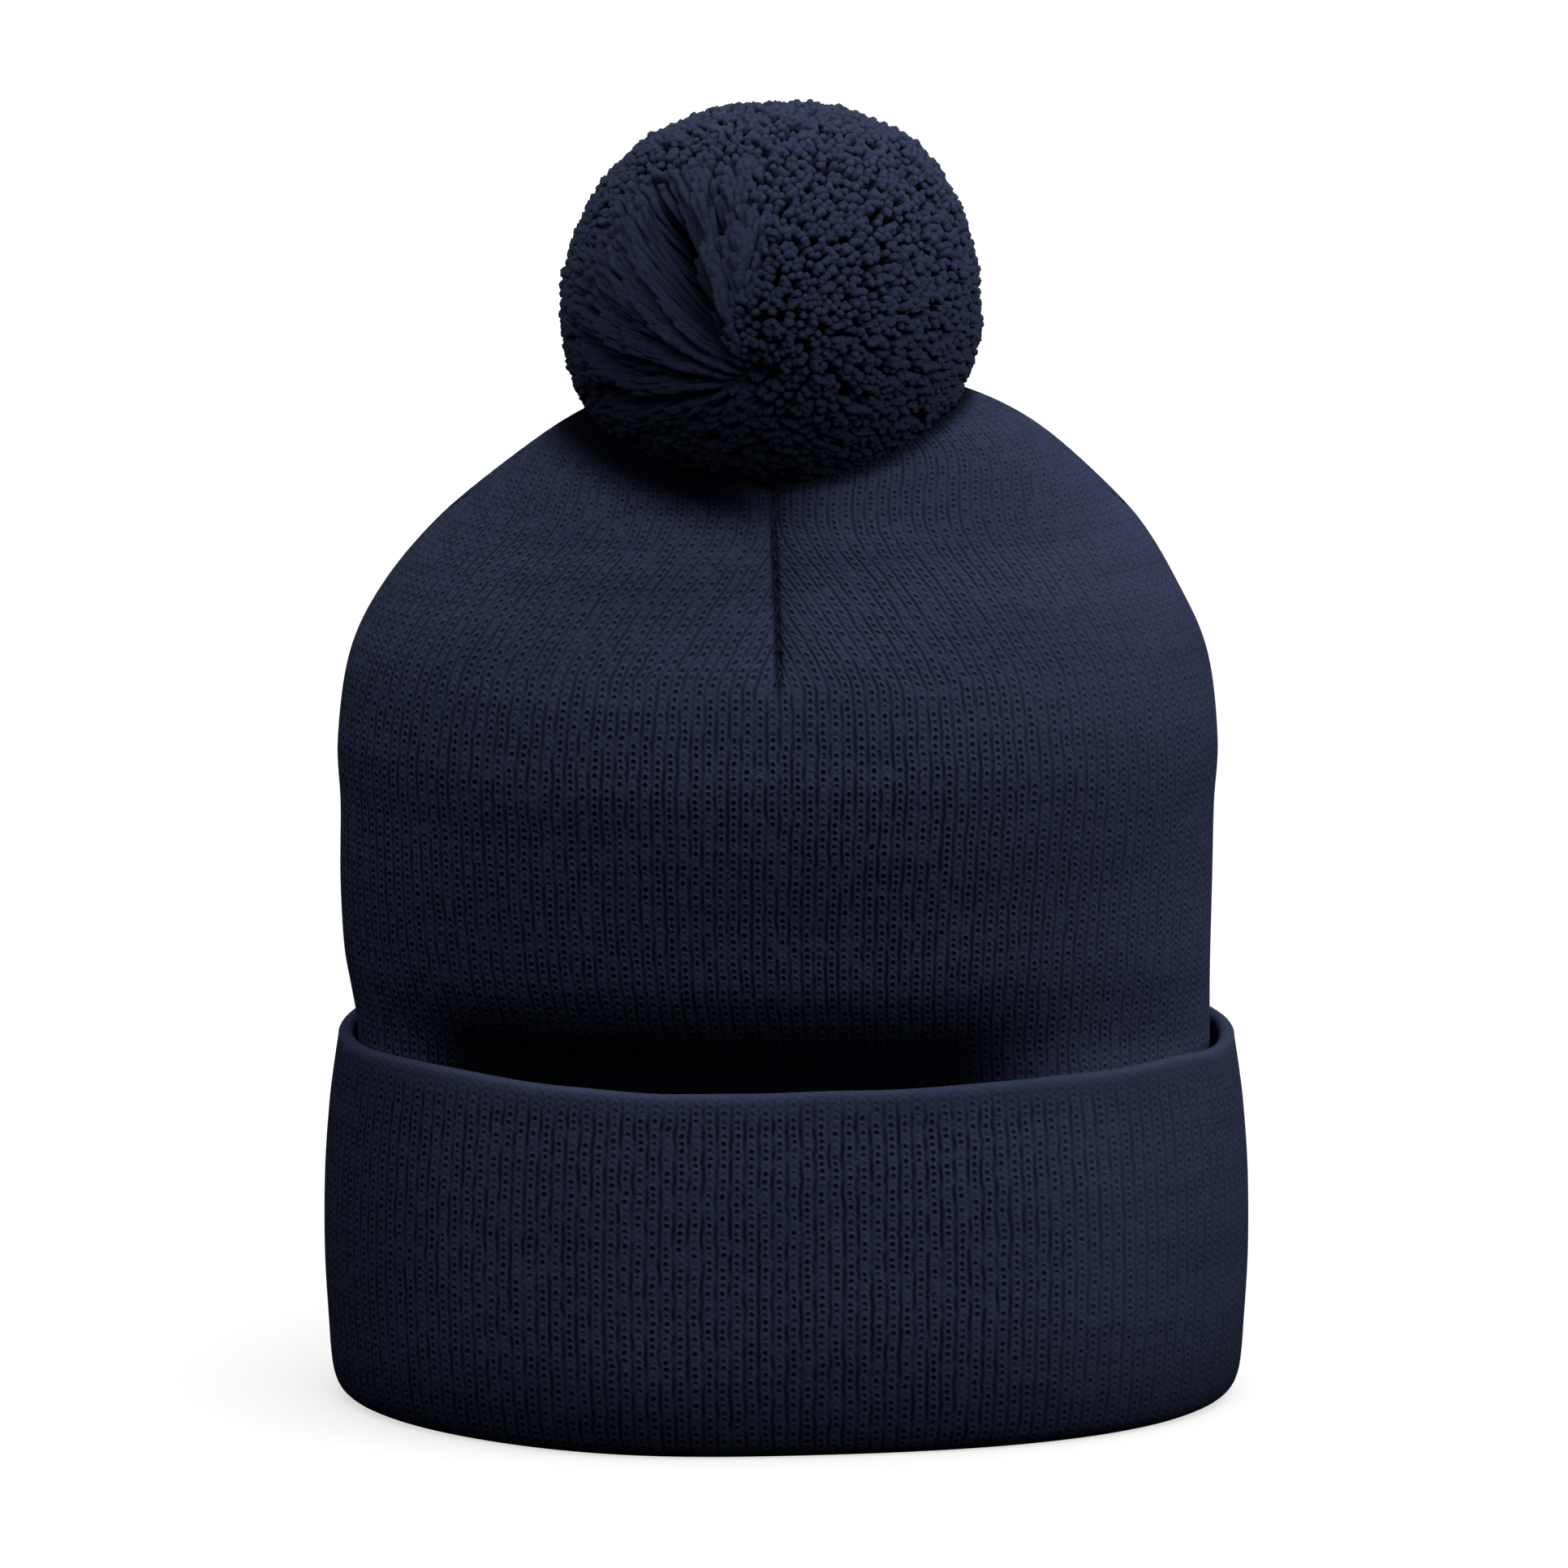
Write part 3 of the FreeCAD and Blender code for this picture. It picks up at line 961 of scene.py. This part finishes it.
def pom_strand(direction, pom, rng):
    """Path, radii, tones and shade of the strand that ends in a direction."""
    jitter = Vector([rng.gauss(0, 1) for axis in range(3)])
    end_way = (direction + jitter * SCATTER).normalized()
    away = math.acos(max(-1.0, min(1.0, end_way.dot(PARTING))))
    azimuth = math.atan2(end_way.dot(PARTING_UP), end_way.dot(PARTING_SIDE) + 0.09)
    fan = math.cos(azimuth - FAN_MIDDLE) + 0.3 * noise.noise(end_way * 5.0)
    lying = ease(FAN_REACH - away, 0.0, 0.8) * (0.1 + 0.9 * ease(fan, 0.15, 0.9))
    # the strands stand apart at one gap, and elsewhere draw together in locks with furrows between them
    from_gap = azimuth - GAP_ANGLE + 0.25 * (away - 0.4)
    opening = ease(away, 0.04, 0.3) * ease(1.3 - away, 0.0, 0.5)
    push = math.copysign(GAP_PUSH, from_gap) * bell(from_gap, GAP_WIDTH) * opening
    lock = LOCKS * azimuth + 2.2 * noise.noise(end_way * 3.0)
    end_way = Matrix.Rotation(push - LOCK_DRAW * lying * math.sin(lock), 3, PARTING) @ end_way
    furrow = ease(-math.cos(lock), 0.2, 1.0)
    gap = bell(from_gap, 0.10) * opening
    clump = noise.noise(end_way * 7.0) * 0.0008 + noise.noise(end_way * 17.0) * 0.0004
    reach = pom.radius + clump + rng.uniform(-0.0005, 0.0004)
    reach -= lying * 0.0022 * furrow + 0.0040 * gap
    reach += 0.0022 * bell((end_way - SHOULDER).length, 0.45) - 0.0010 * ease(end_way.z, 0.75, 1.0)
    pit = bell((end_way - PIT).length, 0.085)
    reach -= 0.0055 * bell(away, 0.13) + 0.0090 * pit
    root_way = end_way.lerp(PARTING, 0.95 * lying).normalized()
    bend_way = end_way.lerp(PARTING, 0.55 * lying).normalized()
    start = root_way * pom.radius * (0.52 + 0.22 * lying)
    bend = bend_way * reach * 0.98
    # the cut tips are brushed level with the ground, either way
    level = Vector((-end_way.y, end_way.x, 0.25 * rng.uniform(-1, 1))).normalized()
    low = ease(-end_way.z, 0.1, 0.45) * ease(end_way.z + 0.95, 0.0, 0.25)
    brushed = rng.choice((-1.0, 1.0)) * (rng.uniform(0.0012, 0.0032) + 0.0046 * low) * (1 - 0.8 * lying)
    end = (end_way * reach + level * brushed).normalized() * reach
    path = [POM_CENTRE * MM + point for point in curl(start, bend, end, STRAND_PARTS)]
    thick = pom.yarn * rng.uniform(0.85, 1.12) * (1 - 0.22 * lying)
    radii = [thick * part for part in STRAND_RADII]
    # Painted shade: strands darken towards their roots deep in the ball, and in the gap and the pit
    lit = 1 - 0.75 * max(0.6 * gap, pit)
    depths = [(point - POM_CENTRE * MM).length / pom.radius for point in path]
    tones = [lit * (0.45 * ease(depth, 0.5, 0.78) + 0.55 * ease(depth, 0.72, 0.93)) for depth in depths]
    return path, radii, tones, 0.5 + 0.5 * noise.noise(end_way * 9.0)


class BEANIE_OT_pompom(bpy.types.Operator):
    """Tie and trim the pom pom, strand by strand"""

    bl_idname = "beanie.pompom"
    bl_label = "Pom pom"

    PARTS = 3

    def execute(self, context):
        pom = context.scene.pom
        rng = random.Random(pom.seed)
        material = yarn_material("pom_yarn", tuple(pom.navy), tuple(pom.shade), 0.5, 0.9, 0.0003, 0.89)
        bundles = [StrandBundle() for part in range(self.PARTS)]
        down = Vector((0, 0, -1))
        directions = [way for way in spread_directions(pom.strands) if way.angle(down) > FOOT_CONE]
        for i, direction in enumerate(directions):
            bundles[i % self.PARTS].lay(*pom_strand(direction, pom, rng))
        for part, bundle in enumerate(bundles):
            bundle.finish(f"pompom_strands_{part + 1}", "pompom", material, "yarn", ["pompom_yarn"])
        return {"FINISHED"}


def cad_corners(node):
    """The low and the high corner of a CAD node's box."""
    return [Vector(corner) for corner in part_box(node)]


def lay_rope(bundle, points, radius, tone=1.0):
    """One long strand through points, as thick all along."""
    radii = [0.0] + [radius] * (len(points) - 2) + [0.0]
    bundle.lay(points, radii, [tone] * len(points), 0.5)


# How far from the pom pom's middle the dart seams end
SEAM_END = 0.0468


def seam_line(dome, levels, name):
    """The points of a dart seam on the dome, from its tip up to the pom pom."""
    face = 1.0 if name == "back" else -1.0
    side = -1.0 if name == "left" else 1.0
    steps = 0 if name in ("front", "back") else dome.quarter
    tip = FRONT_DART_TIP if name in ("front", "back") else SIDE_DART_TIP
    points = []
    for level in reversed(levels):
        point = level.point(steps, side, face, False)
        if level.height > tip and (point - POM_CENTRE * MM).length > SEAM_END:
            points.append(point)
    return points


class BEANIE_OT_dart_seams(bpy.types.Operator):
    """Sew the four darts of the crown, outside and in the lining"""

    bl_idname = "beanie.dart_seams"
    bl_label = "Dart seams"

    THREAD = 0.00028
    STITCH = 0.0026

    def execute(self, context):
        knit = context.scene.knit
        thread = thread_material("seam_thread")
        plies = (knit.shell_ply + knit.ply_gap + knit.lining_ply) / MM
        dome = Dome(knit, 3)
        for kind, depth, lift in (("dart", 0.0, 0.15), ("lining", plies, -0.35)):
            levels = dome.levels(depth, lambda height: 0.8)
            for name in ("front", "back", "left", "right"):
                line = seam_line(dome, levels, name)
                self.sew(f"{kind}_seam_{name}_thread", line, lift, name, thread, f"{kind}_seam_{name}")
        return {"FINISHED"}

    def sew(self, piece, line, lift, name, thread, node):
        """A row of small slanted stitches along a line, just proud of the knit."""
        bundle = StrandBundle(5, 6)
        across = Vector((1, 0, 0)) if name in ("front", "back") else Vector((0, 1, 0))
        out = {"front": (0, -1, 0.4), "back": (0, 1, 0.4), "left": (-0.6, 0, 1), "right": (0.6, 0, 1)}[name]
        out = Vector(out).normalized() * lift * MM
        run = 0.0
        slant = 1.0
        for last, point in zip(line, line[1:]):
            run += (point - last).length
            if run < self.STITCH:
                continue
            run = 0.0
            ahead = (point - last).normalized() * self.STITCH * 0.5
            sway = across * self.THREAD * slant
            slant = -slant
            start = point - ahead - sway - out
            end = point + ahead + sway - out
            path = curl(start, point + out * 2, end, (0.0, 0.04, 0.25, 0.5, 0.75, 0.96, 1.0))
            lay_rope(bundle, path, self.THREAD)
        bundle.finish(piece, "hat", thread, "thread", [node])


def knot_points(centre, size, count):
    """The line of an overhand knot."""
    points = []
    for i in range(count + 1):
        turn = i / count * math.tau * 0.97
        points.append(centre + size / 3 * Vector((
            math.sin(turn) + 2 * math.sin(2 * turn),
            math.cos(turn) - 2 * math.cos(2 * turn),
            -1.3 * math.sin(3 * turn),
        )))
    return points


class BEANIE_OT_tie(bpy.types.Operator):
    """Wind the tie round the middle of the pom pom, and knot it"""

    bl_idname = "beanie.tie"
    bl_label = "Tie of the pom pom"

    TURNS = 5
    STEPS = 120

    def execute(self, context):
        pom = context.scene.pom
        yarn = yarn_material("tie_yarn", tuple(pom.navy), tuple(pom.shade), 0.9, 0.7, 0.0003)
        centre = POM_CENTRE * MM
        knot = StrandBundle(8, 96)
        lay_rope(knot, knot_points(centre, 0.0026, 96), 0.00062)
        knot.finish("tie_knot_yarn", "tie_core", yarn, "thread", ["tie_knot"])
        wrap = StrandBundle(8, self.STEPS)
        points = []
        for i in range(self.STEPS + 1):
            turn = i / self.STEPS * math.tau * self.TURNS
            radius = 0.0050 + 0.0006 * math.cos(turn * 0.62)
            rise = 0.0007 * math.sin(turn * 0.62)
            points.append(centre + Vector((radius * math.cos(turn), radius * math.sin(turn), rise)))
        lay_rope(wrap, points, 0.00055)
        wrap.finish("tie_wrap_yarn", "tie_collar", yarn, "thread", ["tie_wrap"])
        return {"FINISHED"}


class BEANIE_OT_anchor(bpy.types.Operator):
    """Sew the pom pom down with a twisted thread and knot it inside the crown"""

    bl_idname = "beanie.anchor"
    bl_label = "Anchor thread and knot"

    STEPS = 110
    TURNS = 14
    OFF = 0.0003

    def execute(self, context):
        thread = thread_material("anchor_thread")
        low, high = cad_corners("anchor_thread")
        middle = (low + high) / 2
        cord = StrandBundle(6, self.STEPS)
        for ply in range(2):
            points = []
            for i in range(self.STEPS + 1):
                part = i / self.STEPS
                turn = part * math.tau * self.TURNS + ply * math.pi
                off = Vector((math.cos(turn), math.sin(turn), 0)) * self.OFF
                points.append(Vector((middle.x, middle.y, low.z + part * (high.z - low.z))) + off)
            lay_rope(cord, points, 0.00031)
        cord.finish("anchor_thread_cord", "hat", thread, "thread", ["anchor_thread"])
        low, high = cad_corners("anchor_knot")
        knot = StrandBundle(8, 96)
        lay_rope(knot, knot_points((low + high) / 2, 0.0029, 96), 0.0007)
        knot.finish("anchor_knot_cord", "hat", thread, "thread", ["anchor_knot"])
        return {"FINISHED"}


class BEANIE_OT_label(bpy.types.Operator):
    """Sew the blank care label inside the back"""

    bl_idname = "beanie.label"
    bl_label = "Care label"

    STITCHES = 7
    YARN = 0.0004

    def execute(self, context):
        low, high = cad_corners("care_label")
        width, length = high.x - low.x, high.z - low.z
        bm = bmesh.new()
        bmesh.ops.create_grid(bm, x_segments=24, y_segments=30, size=0.5)
        uv = bm.loops.layers.uv.new("tape")
        for face in bm.faces:
            face.smooth = True
            for loop in face.loops:
                co = loop.vert.co
                loop[uv].uv = ((co.x + 0.5) * width / self.YARN, (co.y + 0.5) * length / self.YARN)
        middle = (low + high) / 2
        for vert in bm.verts:
            across, down = vert.co.x, 0.5 - vert.co.y
            curl_out = 0.0011 * math.sin(down * math.pi * 0.9) * math.cos(across * 2.2)
            curl_out += 0.0004 * across * down
            vert.co = (middle.x + across * width, middle.y - curl_out, high.z - down * length)
        bmesh.ops.solidify(bm, geom=bm.faces[:], thickness=0.0003)
        bmesh.ops.recalc_face_normals(bm, faces=bm.faces)
        label = finish_piece(bm, "care_label_tape", "label", label_material(), ["care_label"])
        stitches = self.stitches()
        return {"FINISHED"}

    def stitches(self):
        low, high = cad_corners("label_stitches")
        thread = thread_material("label_thread", (0.010, 0.013, 0.026))
        bundle = StrandBundle(6, 6)
        pitch = (high.x - low.x) / self.STITCHES
        middle = (low + high) / 2
        for i in range(self.STITCHES):
            start = Vector((low.x + (i + 0.12) * pitch, middle.y, middle.z))
            end = start + Vector((0.76 * pitch, 0, 0))
            bend = (start + end) / 2 - Vector((0, 0.0009, 0))
            lay_rope(bundle, curl(start, bend, end, (0.0, 0.05, 0.25, 0.5, 0.75, 0.95, 1.0)), 0.00035)
        return bundle.finish("label_stitch_row", "hat", thread, "thread", ["label_stitches"])


# ---- the stage


class BEANIE_OT_studio(bpy.types.Operator):
    """Lay the pale floor and set the lights and the camera"""

    bl_idname = "beanie.studio"
    bl_label = "Studio"

    KEY_PLACE = Vector((1.75, -0.5, 1.05))
    KEY_AIM = Vector((0, 0, 0.14))

    def execute(self, context):
        studio = context.scene.studio
        self.floor()
        self.lights(context)
        self.camera(studio)
        context.scene.view_settings.view_transform = "Standard"
        return {"FINISHED"}

    def floor(self):
        bm = bmesh.new()
        bmesh.ops.create_grid(bm, x_segments=1, y_segments=1, size=40.0)
        mesh = bpy.data.meshes.new("floor")
        bm.to_mesh(mesh)
        bm.free()
        material, w, shader = blank_material("floor_paper")
        set_constants(shader, {
            "Base Color": (0.22, 0.22, 0.22, 1.0),
            "Roughness": 1.0,
            "Specular IOR Level": 0.0,
            "Emission Color": (1.0, 1.0, 1.0, 1.0),
            "Emission Strength": 0.62,
        })
        mesh.materials.append(material)
        floor = linked_object("floor", mesh)
        floor.visible_diffuse = False
        floor.visible_glossy = False

    def lights(self, context):
        world = bpy.data.worlds.new("studio_air")
        world.use_nodes = True
        w = Wiring(world.node_tree)
        air = world.node_tree.nodes["Background"].inputs
        x, y, z = w.axes(w.coordinates("Generated"))
        sky = w.smooth(z, 0.22, 1.0, 0.03, 4.4)
        side = w.smooth(x, -0.8, 0.8, 0.52, 1.08)
        front = w.smooth(y, 0.8, -0.8, 0.82, 1.26)
        air[0].default_value = (1.0, 1.0, 1.0, 1.0)
        w.feed(air[1], w.times(sky, side, front))
        context.scene.world = world
        lamp = bpy.data.lights.new("key", "AREA")
        lamp.shape = "DISK"
        lamp.size = 1.0
        lamp.energy = 14.5
        key = linked_object("key", lamp)
        key.location = self.KEY_PLACE
        key.rotation_euler = (self.KEY_AIM - self.KEY_PLACE).to_track_quat("-Z", "Y").to_euler()

    def camera(self, studio):
        data = bpy.data.cameras.new("camera")
        data.sensor_width = 36.0
        data.lens = data.sensor_width * studio.distance / studio.width
        data.clip_end = 200.0
        camera = linked_object("camera", data)
        aim = Vector((-0.0005, 0.0, studio.aim))
        back = Vector((0, -math.cos(studio.elevation), math.sin(studio.elevation)))
        camera.location = aim + back * studio.distance
        camera.rotation_euler = (-back).to_track_quat("-Z", "Y").to_euler()
        bpy.context.scene.camera = camera


# ---- the add-on


PIECES = (
    BEANIE_OT_outer_shell,
    BEANIE_OT_inner_lining,
    BEANIE_OT_dart_seams,
    BEANIE_OT_cuff,
    BEANIE_OT_pompom,
    BEANIE_OT_tie,
    BEANIE_OT_anchor,
    BEANIE_OT_label,
    BEANIE_OT_studio,
)
SETTINGS = {"knit": KnitSettings, "cuff": CuffSettings, "pom": PomSettings, "studio": StudioSettings}


class BEANIE_PT_panel(bpy.types.Panel):
    """Sizes, colours and pieces of the beanie"""

    bl_idname = "BEANIE_PT_panel"
    bl_label = "Pom Pom Beanie"
    bl_space_type = "VIEW_3D"
    bl_region_type = "UI"
    bl_category = "Beanie"

    def draw(self, context):
        for name, group in SETTINGS.items():
            box = self.layout.box()
            box.label(text=name.capitalize())
            for prop in group.__annotations__:
                box.prop(getattr(context.scene, name), prop)
        for piece in PIECES:
            self.layout.operator(piece.bl_idname)


def register():
    for group in SETTINGS.values():
        bpy.utils.register_class(group)
    for name, group in SETTINGS.items():
        setattr(bpy.types.Scene, name, PointerProperty(type=group))
    for piece in PIECES:
        bpy.utils.register_class(piece)
    bpy.utils.register_class(BEANIE_PT_panel)


def unregister():
    bpy.utils.unregister_class(BEANIE_PT_panel)
    for piece in reversed(PIECES):
        bpy.utils.unregister_class(piece)
    for name in SETTINGS:
        delattr(bpy.types.Scene, name)
    for group in SETTINGS.values():
        bpy.utils.unregister_class(group)


def main():
    register()
    for piece in PIECES:
        area, action = piece.bl_idname.split(".")
        getattr(getattr(bpy.ops, area), action)()


if __name__ == "__main__":
    main()
